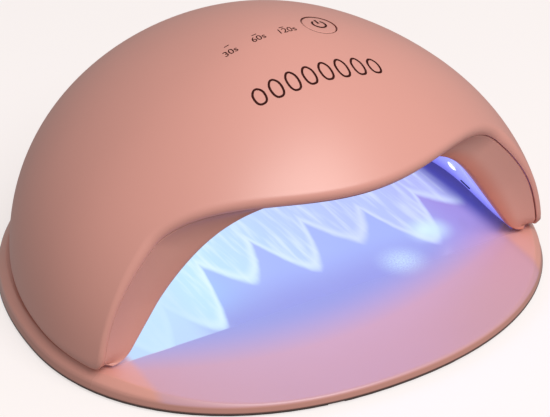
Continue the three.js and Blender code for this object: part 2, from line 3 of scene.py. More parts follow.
import bpy
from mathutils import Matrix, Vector


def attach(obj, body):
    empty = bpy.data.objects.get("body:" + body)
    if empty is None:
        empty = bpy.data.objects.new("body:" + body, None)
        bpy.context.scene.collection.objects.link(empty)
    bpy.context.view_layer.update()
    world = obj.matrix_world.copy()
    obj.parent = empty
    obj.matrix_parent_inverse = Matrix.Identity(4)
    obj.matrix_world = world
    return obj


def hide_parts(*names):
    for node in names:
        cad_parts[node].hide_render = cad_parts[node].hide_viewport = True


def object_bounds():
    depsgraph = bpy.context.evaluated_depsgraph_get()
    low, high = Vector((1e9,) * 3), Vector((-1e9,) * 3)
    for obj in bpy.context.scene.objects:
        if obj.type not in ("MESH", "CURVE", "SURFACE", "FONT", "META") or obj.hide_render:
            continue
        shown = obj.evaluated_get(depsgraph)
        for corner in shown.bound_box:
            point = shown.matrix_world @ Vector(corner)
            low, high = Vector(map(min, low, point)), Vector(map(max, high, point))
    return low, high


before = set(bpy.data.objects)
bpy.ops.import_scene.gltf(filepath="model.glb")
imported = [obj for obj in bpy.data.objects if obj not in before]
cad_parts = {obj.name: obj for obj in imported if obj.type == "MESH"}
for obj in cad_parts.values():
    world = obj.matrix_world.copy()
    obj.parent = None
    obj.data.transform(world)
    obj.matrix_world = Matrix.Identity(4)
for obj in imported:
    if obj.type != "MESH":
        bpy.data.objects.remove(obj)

CAD_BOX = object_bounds()
CAD_LOW = Vector(CAD_BOX[0])

bl_info = {
    "name": "UV LED nail lamp",
    "version": (1, 0, 0),
    "blender": (4, 5, 0),
    "location": "View3D > Sidebar > Nail lamp",
    "description": "Builds the look of a domed nail curing lamp around its CAD frame",
    "category": "Object",
}

MM = 0.001


# ---------- Shape of the dome, in millimetres ----------

DOME_HALF_WIDTH = 106
DOME_FRONT_REACH = 92.6
DOME_BACK_REACH = 118.4
DOME_CENTRE_Y = -19.7
DOME_LEAN = 0.11
DOME_ZERO_Z = 7.95
DOME_HEIGHT = 100
DOME_SHOULDER = 1.5
DOME_CROWN = 2.11
CROWN_BLUNTNESS = 0.15
DOME_BOTTOM_Z = 9.0
HEM_HEIGHT = 5
HEM_TURN_IN = 1.9
FOOT_ROUNDING = 7
# The front edge of the dome and the inner edge of the bezel bow forward into a visor.
FRONT_EDGE_Y = -53
FRONT_EDGE_BOW = 26.4
FRONT_EDGE_HALF_WIDTH = 76
INNER_EDGE_Y = -49.6
INNER_EDGE_BOW = 17.7
INNER_EDGE_HALF_WIDTH = 72
# Control points of the mouth's arch, from a foot to its top: half width and height.
ARCH = [(86, 9.5), (54.7, 54.6), (50, 69), (0, 69)]
BUTTON_AT = (17, -13)
JACK_AT = (0, 94, 26)
JACK_OPENING = 4.6


def hem(z):
    """How far the foot of the dome turns in at a height."""
    return HEM_TURN_IN * max(0, 1 - (z - DOME_BOTTOM_Z) / HEM_HEIGHT) ** 2


def dome_share(z):
    """Plan radius of the dome at a height, as a share of its reach."""
    rise = max(0, (z - DOME_ZERO_Z) / DOME_HEIGHT)
    rounded = max(0, 1 - rise ** DOME_CROWN) ** (1 / DOME_SHOULDER)
    return math.sqrt(max(0, rounded ** 2 - CROWN_BLUNTNESS ** 2))


def dome_reach(dy):
    return DOME_FRONT_REACH if dy < 0 else DOME_BACK_REACH


def dome_point(turn, z):
    share = dome_share(z)
    x = share * (DOME_HALF_WIDTH - hem(z)) * math.cos(turn)
    lean = DOME_CENTRE_Y + DOME_LEAN * (z - DOME_ZERO_Z)
    return Vector((x, lean + share * (dome_reach(math.sin(turn)) - hem(z)) * math.sin(turn), z))


def dome_depth(point):
    """Positive inside the dome's surface, negative outside."""
    x, y, z = point
    dy = y - DOME_CENTRE_Y - DOME_LEAN * (z - DOME_ZERO_Z)
    return dome_share(z) - math.hypot(x / (DOME_HALF_WIDTH - hem(z)), dy / (dome_reach(dy) - hem(z)))


def dome_normal(point):
    """Outward normal of the dome's surface."""
    step = 0.05
    slope = []
    for axis in (Vector((1, 0, 0)), Vector((0, 1, 0)), Vector((0, 0, 1))):
        slope.append(dome_depth(point - axis * step) - dome_depth(point + axis * step))
    return Vector(slope).normalized()


def crown_z():
    rise = (1 - CROWN_BLUNTNESS ** DOME_SHOULDER) ** (1 / DOME_CROWN)
    return DOME_ZERO_Z + rise * DOME_HEIGHT


def bump(x, half_width):
    """1 in the middle, falling to 0 at the half width."""
    return max(0, 1 - (x / half_width) ** 2) ** 1.5


def front_edge_y(x):
    return FRONT_EDGE_Y - FRONT_EDGE_BOW * bump(x, FRONT_EDGE_HALF_WIDTH)


def foot_setback(z):
    """How far the dome's front edge is rounded back near the floor."""
    low = max(0, 1 - (z - DOME_BOTTOM_Z) / FOOT_ROUNDING)
    return FOOT_ROUNDING * (1 - math.sqrt(1 - low ** 2))


def inner_edge_y(x):
    return INNER_EDGE_Y - INNER_EDGE_BOW * bump(x, INNER_EDGE_HALF_WIDTH)


def surface_z(x, y):
    """Height of the dome's surface above a point of the plan."""
    return bisect(DOME_BOTTOM_Z, crown_z(), 40, lambda z: dome_depth((x, y, z)) > 0)


def on_dome(x, y, lift=0.0):
    point = Vector((x, y, surface_z(x, y)))
    return point + dome_normal(point) * lift


def signed_power(value, power):
    return math.copysign(abs(value) ** power, value)


# ---------- Shape of the tray and the reflector, in millimetres ----------

BASE_HALF_WIDTH = 107
BASE_CENTRE_Y = -13
BASE_FRONT_REACH = 88.4
BASE_BACK_REACH = 114.4
BASE_ROUNDNESS = 2.15
FLOOR_FRONT_Z = 4.6
FLOOR_REAR_Z = 8.0
FLOOR_RISE = (-97, -50)
BOWL_MOUTH_Y = -45
BOWL_LEAD = 2.4
BOWL_DEPTH = 115
BOWL_ROUNDNESS = 3.5
BOWL_BELLY = 5
BOWL_BOTTOM_Z = 9.6
FLUTE_PITCH = 24
FLUTE_DEPTH = 3.2


def base_outline(turn, inset):
    """A point of the tray's outline, moved in by an inset."""
    power = 2 / BASE_ROUNDNESS
    reach = BASE_FRONT_REACH if math.sin(turn) < 0 else BASE_BACK_REACH
    x = (BASE_HALF_WIDTH - inset) * signed_power(math.cos(turn), power)
    return x, BASE_CENTRE_Y + (reach - inset) * signed_power(math.sin(turn), power)


def floor_rise(y):
    return smooth((y - FLOOR_RISE[0]) / (FLOOR_RISE[1] - FLOOR_RISE[0]))


def floor_height(y):
    return FLOOR_FRONT_Z + (FLOOR_REAR_Z - FLOOR_FRONT_Z) * floor_rise(y)


def flute_share(x, back, level):
    """Depth of the pointed flutes in the reflector's back, from 0 on a ridge to 1 in a hollow."""
    wave = abs(math.cos(math.pi * x / FLUTE_PITCH))
    tip = smooth((level - 0.35) / 0.6)
    return max(0, wave - tip) * smooth((back - 0.5) / 0.4) * smooth(level / 0.1)


def bowl_point(turn, level):
    """A point of the reflector's inner face, and how deep in a flute it lies."""
    x0, z0 = arch_point(level)
    half_width = x0 + 0.6 if level < 1 else 0
    power = 2 / BOWL_ROUNDNESS
    back = abs(math.sin(turn)) ** power
    belly = BOWL_BELLY * math.sin(math.pi * back) ** 2 * (1 - level)
    x = (half_width + belly) * signed_power(math.cos(turn), power)
    fluting = flute_share(x, back, level)
    depth = BOWL_DEPTH * (1 - 0.36 * level ** 2) + FLUTE_DEPTH * fluting
    lead = BOWL_LEAD + INNER_EDGE_BOW * bump(x, INNER_EDGE_HALF_WIDTH)
    mouth_y = BOWL_MOUTH_Y - lead * (1 - back)
    return Vector((x, mouth_y + depth * back, BOWL_BOTTOM_Z + z0 - ARCH[0][1])), fluting


def smooth(value):
    """0 below 0, 1 above 1, and a soft step between."""
    value = min(1, max(0, value))
    return value * value * (3 - 2 * value)


def arch_point(share):
    """Half width and height of the mouth's arch, from a foot at 0 to the top at 1."""
    weights = [(1 - share) ** 3, 3 * (1 - share) ** 2 * share, 3 * (1 - share) * share ** 2, share ** 3]
    return [sum(w * p[axis] for w, p in zip(weights, ARCH)) for axis in (0, 1)]


# ---------- Mesh and material helpers ----------

# Points nearer than this, in metres, are one point.
DOUBLES = 0.00002
SMOOTH = {"interpolation_type": "SMOOTHSTEP"}


def deselect():
    if bpy.context.object and bpy.context.object.mode != "OBJECT":
        bpy.ops.object.mode_set(mode="OBJECT")
    bpy.ops.object.select_all(action="DESELECT")


def activate(obj):
    deselect()
    obj.select_set(True)
    bpy.context.view_layer.objects.active = obj


def add(operator, **settings):
    """Runs an operator that adds an object, with nothing selected before, and returns the object."""
    deselect()
    operator(**settings)
    return bpy.context.object


def edit_all(obj):
    """Enters edit mode on an object, with its whole mesh selected."""
    activate(obj)
    bpy.ops.object.mode_set(mode="EDIT")
    bpy.ops.mesh.select_all(action="SELECT")


def leave_edit():
    bpy.ops.object.mode_set(mode="OBJECT")


def lay_grid(name, columns, values=None):
    """A grid primitive whose points are moved, column by column, onto points given in millimetres.
    values, if given, holds a number for each point, kept in the mesh as the attribute "share"."""
    across, up = len(columns) - 1, len(columns[0]) - 1
    obj = add(bpy.ops.mesh.primitive_grid_add, x_subdivisions=across, y_subdivisions=up, size=1)
    obj.name = name
    shares = []
    for vertex in obj.data.vertices:
        i = round((vertex.co.x + 0.5) * across)
        j = round((vertex.co.y + 0.5) * up)
        vertex.co = Vector(columns[i][j]) * MM
        if values:
            shares.append(values[i][j])
    if values:
        obj.data.attributes.new("share", "FLOAT", "POINT").data.foreach_set("value", shares)
    return obj


def close_up(obj, angle=None):
    """Merges doubles, turns all faces outwards and shades the piece smooth, up to the angle if given."""
    edit_all(obj)
    bpy.ops.mesh.remove_doubles(threshold=DOUBLES)
    bpy.ops.mesh.fill_holes(sides=0)
    bpy.ops.mesh.normals_make_consistent(inside=False)
    leave_edit()
    if angle is None:
        bpy.ops.object.shade_smooth()
    else:
        bpy.ops.object.shade_smooth_by_angle(angle=math.radians(angle))
    return obj


def settle(obj):
    """Puts the object's place into its mesh."""
    activate(obj)
    bpy.ops.object.transform_apply(location=True, rotation=True, scale=True)
    return obj


def apply_modifiers(obj):
    activate(obj)
    for modifier in list(obj.modifiers):
        bpy.ops.object.modifier_apply(modifier=modifier.name)
    return obj


def cut(obj, cutter):
    """Takes the cutter's shape out of the object and removes the cutter."""
    modifier = obj.modifiers.new("cut", "BOOLEAN")
    modifier.operation = "DIFFERENCE"
    modifier.solver = "EXACT"
    modifier.object = cutter
    apply_modifiers(obj)
    bpy.data.objects.remove(cutter)


def linear(hex_colour):
    """An sRGB hex colour as linear red, green, blue, alpha."""
    parts = [int(hex_colour[i:i + 2], 16) / 255 for i in (1, 3, 5)]
    return tuple(c / 12.92 if c <= 0.04045 else ((c + 0.055) / 1.055) ** 2.4 for c in parts) + (1,)


def darker(colour, share):
    """A linear colour times a share, opaque."""
    return [share * c for c in colour[:3]] + [1]


def feed(tree, made, inputs):
    """Sets each named socket of a node to its value, or links it to the node or socket that feeds it."""
    for key, value in inputs.items():
        if isinstance(value, bpy.types.Node):
            value = value.outputs[0]
        if isinstance(value, bpy.types.NodeSocket):
            tree.links.new(value, made.inputs[key])
        else:
            made.inputs[key].default_value = value


def node(tree, kind, inputs=None, **settings):
    """Adds one node with its settings and inputs. A Map Range's inputs 0 to 4 are the value, the range it
    comes from and the one it goes to."""
    made = tree.nodes.new("ShaderNode" + kind)
    for key, value in settings.items():
        setattr(made, key, value)
    feed(tree, made, inputs or {})
    return made


def new_material(name):
    material = bpy.data.materials.new(name)
    material.use_nodes = True
    tree = material.node_tree
    return material, tree, tree.nodes["Principled BSDF"]


def places(tree):
    """Object coordinates in metres, the same in millimetres, and their x, y and z."""
    place = node(tree, "TexCoord").outputs["Object"]
    in_mm = node(tree, "VectorMath", {0: place, "Scale": 1 / MM}, operation="SCALE")
    return place, in_mm, node(tree, "SeparateXYZ", {0: in_mm}).outputs


def wear(obj, material):
    """Gives the object this one material."""
    obj.data.materials.clear()
    obj.data.materials.append(material)


# ---------- Materials ----------

def moulded_abs(name, colour):
    """Injection moulded ABS from a spark-eroded mould: even colour, fine soft grain, broad highlights."""
    material, tree, shader = new_material(name)
    place = node(tree, "TexCoord").outputs["Object"]
    # Flow in the mould leaves a faint cloudiness, some 30 mm across.
    cloud = node(tree, "TexNoise", {"Vector": place, "Scale": 30, "Detail": 2})
    tint = node(tree, "MixRGB", {"Fac": cloud, "Color1": colour, "Color2": darker(colour, 0.955)})
    # The eroded grain is 0.1 mm, drawn at 0.45 mm so that it shows.
    grain = node(tree, "TexNoise", {"Vector": place, "Scale": 2200, "Detail": 2, "Roughness": 0.6})
    relief = node(tree, "Bump", {"Height": grain, "Strength": 0.12, "Distance": 0.00005})
    plastic = {"Roughness": 0.4, "IOR": 1.5, "Specular IOR Level": 0.7}
    feed(tree, shader, {"Base Color": tint, "Normal": relief, **plastic})
    return material


def bezel_abs(colour):
    """The same moulded ABS round the mouth, with painted shade that darkens it up under the visor, and a
    painted warm glow at the thin inner edge, where the lamp's light comes through."""
    material = moulded_abs("moulded_abs_bezel_painted_shade_and_glow", colour)
    tree = material.node_tree
    shader = tree.nodes["Principled BSDF"]
    place = node(tree, "TexCoord").outputs["Object"]
    axes = node(tree, "SeparateXYZ", {0: place})
    share = node(tree, "Attribute", attribute_name="share").outputs["Fac"]
    # Painted shade: the bezel darkens upwards, towards the visor.
    high = node(tree, "MapRange", {0: axes.outputs["Z"], 1: 0.018, 2: 0.065, 4: 0.55})
    plain = shader.inputs["Base Color"].links[0].from_socket
    shaded = node(tree, "MixRGB", {0: high, 1: plain, 2: darker(colour, 0.62)})
    # Painted light: a warm glow along the thin inner edge, on the right side.
    edge = node(tree, "MapRange", {0: share, 1: 0.5, 2: 1.0, 4: 0.6}, **SMOOTH)
    right = node(tree, "MapRange", {0: axes.outputs["X"], 1: -0.01, 2: 0.04, 3: 0.15})
    edge = node(tree, "Math", {0: edge, 1: right}, operation="MULTIPLY")
    painted_edge_glow = node(tree, "MixRGB", {0: edge, 1: shaded, 2: linear("#c05f48")})
    feed(tree, shader, {"Base Color": painted_edge_glow})
    return material


# The tray's floor in millimetres: where the metallising starts, and the petals painted on it as the
# reflection of the lit flutes.
FLOOR_LINE_Y = -48
PETAL_PITCH = 25.4
PETAL_FIRST_X = -44
PETAL_TAPER = 84
PETAL_BLUNTNESS = 1.6
# Where the petals' tips lie: x and y.
PETAL_TIPS = (
    (-70, -52), (-44, -47), (-18.6, -25.6), (6.8, -30.3), (32.2, -22.4), (57.6, -38), (83, -18.4), (110, -18),
)
TIPS_X = (-70, 110)
TIPS_Y = (-60, 0)
LENS_MIRRORED_AT = (59.5, -29)
LENS_SPARKLE_AT = (38, -42.5)


def tip_spot(tip):
    """A petal's tip as a share of the ranges TIPS_X and TIPS_Y."""
    return [(at - low) / (high - low) for at, (low, high) in zip(tip, (TIPS_X, TIPS_Y))]


def petals(tree, place, x, y, inside):
    """The petals painted on the floor as the reflection of the lit flutes: their area, the painted highlight
    along their edge, the painted streaks down them.
    """
    along = node(tree, "MapRange", {0: x, 1: TIPS_X[0], 2: TIPS_X[1]})
    tips = node(tree, "FloatCurve", {"Value": along})
    curve = tips.mapping.curves[0]
    spots = [tip_spot(tip) for tip in PETAL_TIPS]
    curve.points[0].location = spots[0]
    curve.points[-1].location = spots[-1]
    for spot in spots[1:-1]:
        curve.points.new(*spot)
    tips.mapping.update()
    tip_line = node(tree, "MapRange", {0: tips, 3: TIPS_Y[0], 4: TIPS_Y[1]})
    behind_tip = node(tree, "Math", {0: y, 1: tip_line}, operation="SUBTRACT")

    # How far a point lies off its petal's axis. Whole turns are added so that none is negative.
    start = 0.5 - PETAL_FIRST_X / PETAL_PITCH + 10
    turns = node(tree, "Math", {0: x, 1: 1 / PETAL_PITCH, 2: start}, operation="MULTIPLY_ADD")
    fraction = node(tree, "Math", {0: turns}, operation="FRACT")
    centred = node(tree, "Math", {0: fraction, 1: 0.5}, operation="SUBTRACT")
    off_axis = node(tree, "Math", {0: centred}, operation="ABSOLUTE")
    rounded = node(tree, "Math", {0: off_axis, 1: PETAL_BLUNTNESS}, operation="POWER")

    # How far it lies behind the petal's edge, with a little waviness.
    depth = node(tree, "Math", {0: rounded, 1: -PETAL_TAPER, 2: behind_tip}, operation="MULTIPLY_ADD")
    ripple = node(tree, "TexNoise", {"Vector": place, "Scale": 120, "Detail": 2})
    depth = node(tree, "Math", {0: ripple, 1: 3.0, 2: depth}, operation="MULTIPLY_ADD")
    petal = node(tree, "MapRange", {0: depth, 1: -2.5, 2: 5.0}, **SMOOTH)
    petal = node(tree, "Math", {0: petal, 1: inside}, operation="MULTIPLY")
    inner = node(tree, "MapRange", {0: depth, 1: 11.0, 2: 3.5}, **SMOOTH)
    rim = node(tree, "Math", {0: petal, 1: inner}, operation="MULTIPLY")

    # Painted streaks of reflected light run with the flutes, from the back towards the petals' tips.
    drawn_out = node(tree, "VectorMath", {0: place, 1: (340, 34, 1)}, operation="MULTIPLY")
    streaks = node(tree, "TexNoise", {"Vector": drawn_out, "Scale": 1, "Detail": 2})
    streak = node(tree, "MapRange", {0: streaks, 1: 0.46, 2: 0.7})
    stripe = node(tree, "Math", {0: streak, 1: petal}, operation="MULTIPLY")
    return petal, rim, stripe


def near_point(tree, in_mm, spot, radius):
    """Nodes that give 1 at a point of the floor, falling softly to 0 at the radius."""
    flat = node(tree, "VectorMath", {0: in_mm, 1: (1, 1, 0)}, operation="MULTIPLY")
    away = node(tree, "VectorMath", {0: flat, 1: (*spot, 0)}, operation="DISTANCE")
    return node(tree, "MapRange", {0: away.outputs["Value"], 1: radius, 2: 0}, **SMOOTH)


def lens_mirrored(tree, place, in_mm):
    """Painted reflection of a lens of the right wall: a round glow, with a grainy patch of painted glints in
    front of it.
    """
    round_glow = near_point(tree, in_mm, LENS_MIRRORED_AT, 12)
    patch = near_point(tree, in_mm, LENS_SPARKLE_AT, 13)
    speck = node(tree, "TexNoise", {"Vector": place, "Scale": 1500, "Detail": 1})
    glint_specks = node(tree, "MapRange", {0: speck, 1: 0.3, 2: 0.7, 3: 0.35, 4: 0.85})
    sparkle = node(tree, "Math", {0: patch, 1: glint_specks}, operation="MULTIPLY")
    return node(tree, "Math", {0: round_glow, 1: sparkle}, operation="MAXIMUM")


def floor_colours(tree, x, y, petal_parts, wash, glow):
    """The colour of the light painted on the floor and the palm rest: cyan-white on the left, violet on the
    right.
    """
    petal, rim, stripe = petal_parts
    across = node(tree, "MapRange", {0: x, 1: -40, 2: 45}, **SMOOTH)
    deep = node(tree, "MapRange", {0: y, 1: -48, 2: -20}, **SMOOTH)
    near_left = node(tree, "MapRange", {0: x, 1: -15, 2: -50}, **SMOOTH)
    far_right = node(tree, "MapRange", {0: x, 1: 48, 2: 78}, **SMOOTH)
    beside_wall = node(tree, "MapRange", {0: x, 1: 78, 2: 87}, **SMOOTH)
    body = node(tree, "MixRGB", {0: across, 1: linear("#cbf0fa"), 2: linear("#c6d2f8")})
    edge = node(tree, "MixRGB", {0: across, 1: linear("#eaffff"), 2: linear("#dfe9ff")})
    fading = node(tree, "MapRange", {0: across, 3: 0.92, 4: 0.7})

    lit = node(tree, "MixRGB", {0: deep, 1: linear("#9a9ad0"), 2: linear("#abb9e6")})
    # Each layer of painted light: where it shows, how strongly, its colour. The last is painted shade, the
    # wall's dark foot mirrored.
    for share, measure, colour in (
        (far_right, 1, linear("#a893d4")),
        (near_left, deep, linear("#a9cdf2")),
        (petal, fading, body),
        (rim, 0.75, edge),
        (stripe, 0.75, edge),
        (wash, 0.85, linear("#c9e6f8")),
        (glow, 1, linear("#dcf8fe")),
        (beside_wall, 1, linear("#4a459a")),
    ):
        strength = node(tree, "Math", {0: share, 1: measure}, operation="MULTIPLY")
        lit = node(tree, "MixRGB", {0: strength, 1: lit, 2: colour})
    return lit


def lit_area(tree, x, y, z, bright):
    """How strongly the painted light shows at each point: the level floor and the palm rest, not the rim or
    the underside.
    """
    # The painted spill of light is strongest under the visor and its front edge bows back towards the sides.
    from_middle = node(tree, "Math", {0: x, 1: 8}, operation="ADD")
    squared = node(tree, "Math", {0: from_middle, 1: from_middle}, operation="MULTIPLY")
    bowed = node(tree, "Math", {0: squared, 1: -0.003, 2: y}, operation="MULTIPLY_ADD")
    spill = node(tree, "MapRange", {0: bowed, 1: -84, 2: -48}, **SMOOTH)
    share = node(tree, "Math", {0: spill, 1: bright}, operation="MAXIMUM")
    share = node(tree, "Math", {0: share, 1: 0.25}, operation="MAXIMUM")

    # The side limits, as half widths: narrower at the feet of the dome and towards the back.
    distance = node(tree, "Math", {0: x}, operation="ABSOLUTE")
    rear = node(tree, "MapRange", {0: y, 1: 60, 2: 15, 3: 72, 4: 97})
    palm = node(tree, "MapRange", {0: y, 1: -44, 2: -34, 3: 85, 4: 97})
    limit = node(tree, "Math", {0: rear, 1: palm}, operation="MINIMUM")
    outside = node(tree, "Math", {0: distance, 1: limit}, operation="SUBTRACT")

    upper = node(tree, "MapRange", {0: z, 1: 3.6, 2: 4.4})
    between_walls = node(tree, "MapRange", {0: outside, 1: 0, 2: -4}, **SMOOTH)
    not_back = node(tree, "MapRange", {0: y, 1: 68, 2: 66})
    for part in (upper, between_walls, not_back):
        share = node(tree, "Math", {0: share, 1: part}, operation="MULTIPLY")
    return share


def tray_abs(colour):
    """Moulded ABS, vacuum metallised inside the mouth: rose in front, and behind the mouth's line a floor
    with a painted reflection of the lit flutes of the reflector, as glowing petals. Painted violet light
    spills onto the palm rest."""
    material = moulded_abs("moulded_abs_part_metallised_painted_light", colour)
    tree = material.node_tree
    shader = tree.nodes["Principled BSDF"]
    place, in_mm, (x, y, z) = places(tree)
    inside = node(tree, "MapRange", {0: y, 1: FLOOR_LINE_Y - 0.3, 2: FLOOR_LINE_Y + 0.3})

    # Painted light: a cyan-white wash on the left of the floor, and the painted reflection of a lens.
    wash_side = node(tree, "MapRange", {0: x, 1: -38, 2: -56}, **SMOOTH)
    wash = node(tree, "Math", {0: wash_side, 1: inside}, operation="MULTIPLY")
    glow = lens_mirrored(tree, place, in_mm)
    bright = node(tree, "Math", {0: wash, 1: glow}, operation="MAXIMUM")
    lit = floor_colours(tree, x, y, petals(tree, place, x, y, inside), wash, glow)
    lit_share = lit_area(tree, x, y, z, bright)

    # Painted shade darkens the rim below the palm rest, which is turned away from the light, and a painted
    # shadow darkens its foot, where it meets the dark bottom cover.
    rose = shader.inputs["Base Color"].links[0].from_socket
    painted_rim_shade = node(tree, "MapRange", {0: z, 1: 4.3, 2: 3.4, 4: 0.85})
    rose = node(tree, "MixRGB", {0: painted_rim_shade, 1: rose, 2: darker(colour, 0.7)})
    painted_foot_shadow = node(tree, "MapRange", {0: z, 1: 2.0, 2: 1.6, 4: 0.9})
    rose = node(tree, "MixRGB", {0: painted_foot_shadow, 1: rose, 2: linear("#2c1d1b")})
    # Where the painted light shows, the base colour is dark and the light is emission.
    base = node(tree, "MixRGB", {0: lit_share, 1: rose, 2: linear("#3c3f5e")})
    glowing = node(tree, "Math", {0: lit_share, 1: 0.86}, operation="MULTIPLY")
    gloss = node(tree, "MapRange", {0: inside, 3: 0.4, 4: 0.2})
    feed(tree, shader, {"Base Color": base, "Roughness": gloss})
    feed(tree, shader, {"Emission Color": lit, "Emission Strength": glowing})
    return material


def metallised_liner():
    """Vacuum metallised ABS, with the LEDs' light on it painted as a glow: cyan-white on the left, violet on
    the right, brighter in the flutes, with painted shade where its right side meets the floor."""
    material, tree, shader = new_material("metallised_abs_liner_painted_glow")
    x, _, z = places(tree)[2]
    share = node(tree, "Attribute", attribute_name="share").outputs["Fac"]
    across = node(tree, "MapRange", {0: x, 1: -30, 2: 62}, **SMOOTH)
    ridge = node(tree, "MixRGB", {0: across, 1: linear("#9fc4ee"), 2: linear("#8d90f0")})
    hollow = node(tree, "MixRGB", {0: across, 1: linear("#d8f6fb"), 2: linear("#aab4fb")})
    fluting = node(tree, "MapRange", {0: share, 1: 0.05, 2: 0.5}, **SMOOTH)
    lit = node(tree, "MixRGB", {0: fluting, 1: ridge, 2: hollow})
    # Painted shade low on the right side, darkest at the wall's foot.
    low = node(tree, "MapRange", {0: z, 1: 26, 2: 9}, **SMOOTH)
    right = node(tree, "MapRange", {0: x, 1: 60, 2: 80}, **SMOOTH)
    shade = node(tree, "Math", {0: low, 1: right}, operation="MULTIPLY")
    lit = node(tree, "MixRGB", {0: shade, 1: lit, 2: linear("#6d69c8")})
    foot = node(tree, "MapRange", {0: z, 1: 11.6, 2: 10.4})
    foot_shade = node(tree, "Math", {0: foot, 1: right}, operation="MULTIPLY")
    lit = node(tree, "MixRGB", {0: foot_shade, 1: lit, 2: linear("#26246a")})
    feed(tree, shader, {"Base Color": linear("#8488b8"), "Metallic": 0.35, "Roughness": 0.22})
    feed(tree, shader, {"Emission Color": lit, "Emission Strength": 0.95})
    return material


def led_lens():
    """Clear silicone dome over the chip, lit: blue-white."""
    material, tree, shader = new_material("moulded_silicone_lens_lit")
    place = node(tree, "TexCoord").outputs["Object"]
    cells = node(tree, "TexVoronoi", {"Vector": place, "Scale": 900})
    lit = node(tree, "MixRGB", {0: cells, 1: linear("#eaf0ff"), 2: linear("#b9c2ff")})
    feed(tree, shader, {"Base Color": linear("#e6e8ff"), "Roughness": 0.1})
    feed(tree, shader, {"Emission Color": lit, "Emission Strength": 1.5})
    return material


def small_part(name, colour, roughness, metallic=0.0, gloss=0.5):
    """A small part's finish: its colour with a faint mottle of the mould or plating, some 3 mm across."""
    material, tree, shader = new_material(name)
    place = node(tree, "TexCoord").outputs["Object"]
    cloud = node(tree, "TexNoise", {"Vector": place, "Scale": 300, "Detail": 3})
    tint = node(tree, "MixRGB", {"Fac": cloud, "Color1": colour, "Color2": darker(colour, 0.8)})
    feed(tree, shader, {"Base Color": tint, "Roughness": roughness})
    feed(tree, shader, {"Metallic": metallic, "Specular IOR Level": gloss})
    return material


MATERIALS = {}


def make_materials():
    colours = bpy.context.scene.lamp_colours
    MATERIALS.update(
        shell=moulded_abs("moulded_abs_dome", colours.shell),
        bezel=bezel_abs(colours.bezel),
        tray=tray_abs(colours.tray),
        liner=metallised_liner(),
        ink=small_part("pad_printed_ink", colours.ink, 0.6, gloss=0.15),
        dark=small_part("moulded_abs_dark", linear("#2c1d1b"), 0.5),
        # Painted shade: a dark red-brown for the strip that stands in for the shadow in the gap under the
        # dome.
        gasket=small_part("painted_gap_shade_brown", linear("#3b1a16"), 0.8),
        # Painted shade: a dark navy for the patch that stands in for the opening of the wall's slot.
        slot=small_part("slot_shade_navy", linear("#15134a"), 0.5),
        rubber=small_part("moulded_rubber", linear("#1d1d1d"), 0.85),
        metal=small_part("zinc_plated_steel", linear("#b4b6b9"), 0.35, metallic=1.0),
        board=small_part("solder_masked_board", linear("#ecece6"), 0.4),
        led=led_lens(),
    )


def colour_property(name, description, default):
    return bpy.props.FloatVectorProperty(
        name=name, description=description, subtype="COLOR", size=4, default=linear(default))


def length_property(name, description, default):
    return bpy.props.FloatProperty(name=name, description=description, unit="LENGTH", default=default)


class LampColours(bpy.types.PropertyGroup):
    shell: colour_property("Dome", "Plastic of the dome", "#dc9b8e")
    bezel: colour_property("Bezel", "Plastic round the mouth", "#dc9d90")
    tray: colour_property("Tray", "Plastic of the base", "#dd9c8e")
    ink: colour_property("Ink", "Printed marks", "#3a0f08")


class LampSizes(bpy.types.PropertyGroup):
    lip: length_property("Lip", "Radius of the dome's rolled lip at the feet", 0.0018)
    lip_growth: length_property("Lip growth", "How much larger the lip is at the visor", 0.0015)
    button: length_property("Button", "Radius of the power button's cap", 0.0066)
    button_gap: length_property("Button gap", "Gap between the dome and the cap", 0.0005)
    mark_height: length_property("Mark height", "Height of the time marks", 0.0042)
    nail_width: length_property("Nail width", "Width of a printed nail outline", 0.0052)


# ---------- Pieces ----------

def lip_radius(z):
    """Radius of the dome's rolled lip at a height, larger at the visor than at the feet."""
    sizes = bpy.context.scene.lamp_sizes
    return (sizes.lip + sizes.lip_growth * smooth((z - 30) / 32)) / MM


def shell_wall(z):
    """Thickness of the dome's wall: a little more than the lip's radius."""
    return lip_radius(z) + 0.4


def bisect(good, bad, steps, test):
    """The last value that passes the test, between one that does and one that does not."""
    for _ in range(steps):
        middle = (good + bad) / 2
        if test(middle):
            good = middle
        else:
            bad = middle
    return good


def rim_height(turn):
    """Where the meridian at this turn ends: at the front edge, less the lip, or else at the foot."""
    def covered(z):
        p = dome_point(turn, z)
        return p.y >= front_edge_y(p.x) + foot_setback(z) + lip_radius(z)

    top, foot = crown_z(), DOME_BOTTOM_Z + 1.2
    steps = 60
    last = top
    for k in range(1, steps + 1):
        z = top + (foot - top) * (k / steps)
        if dome_point(turn, z).y < -30 and not covered(z):
            return bisect(last, z, 30, covered)
        last = z
    return foot


def even_turns(count, fine=1400):
    """Turns at which the meridians are spread evenly along the rim."""
    turns = [2 * math.pi * k / fine - math.pi / 2 for k in range(fine + 1)]
    rims = [dome_point(turn, rim_height(turn)) for turn in turns]
    lengths = [0]
    for a, b in zip(rims, rims[1:]):
        lengths.append(lengths[-1] + (b - a).length)
    chosen = []
    at = 0
    for k in range(count):
        want = lengths[-1] * k / count
        while lengths[at + 1] < want:
            at += 1
        share = (want - lengths[at]) / (lengths[at + 1] - lengths[at])
        chosen.append(turns[at] + share * (turns[at + 1] - turns[at]))
    return chosen


def meridian(turn, rings):
    """Points from the crown to the rim, closer together at both ends."""
    top = crown_z()
    first = math.asin(CROWN_BLUNTNESS ** (DOME_SHOULDER / 2))
    cosine = min(1, ((rim_height(turn) - DOME_ZERO_Z) / DOME_HEIGHT) ** (DOME_CROWN / 2))
    last = math.acos(cosine)
    line = []
    for k in range(rings + 1):
        share = (1 - math.cos(math.pi * k / rings)) / 2
        angle = first + (last - first) * share
        z = DOME_ZERO_Z + DOME_HEIGHT * math.cos(angle) ** (2 / DOME_CROWN)
        line.append(dome_point(turn, min(top, z)))
    return line


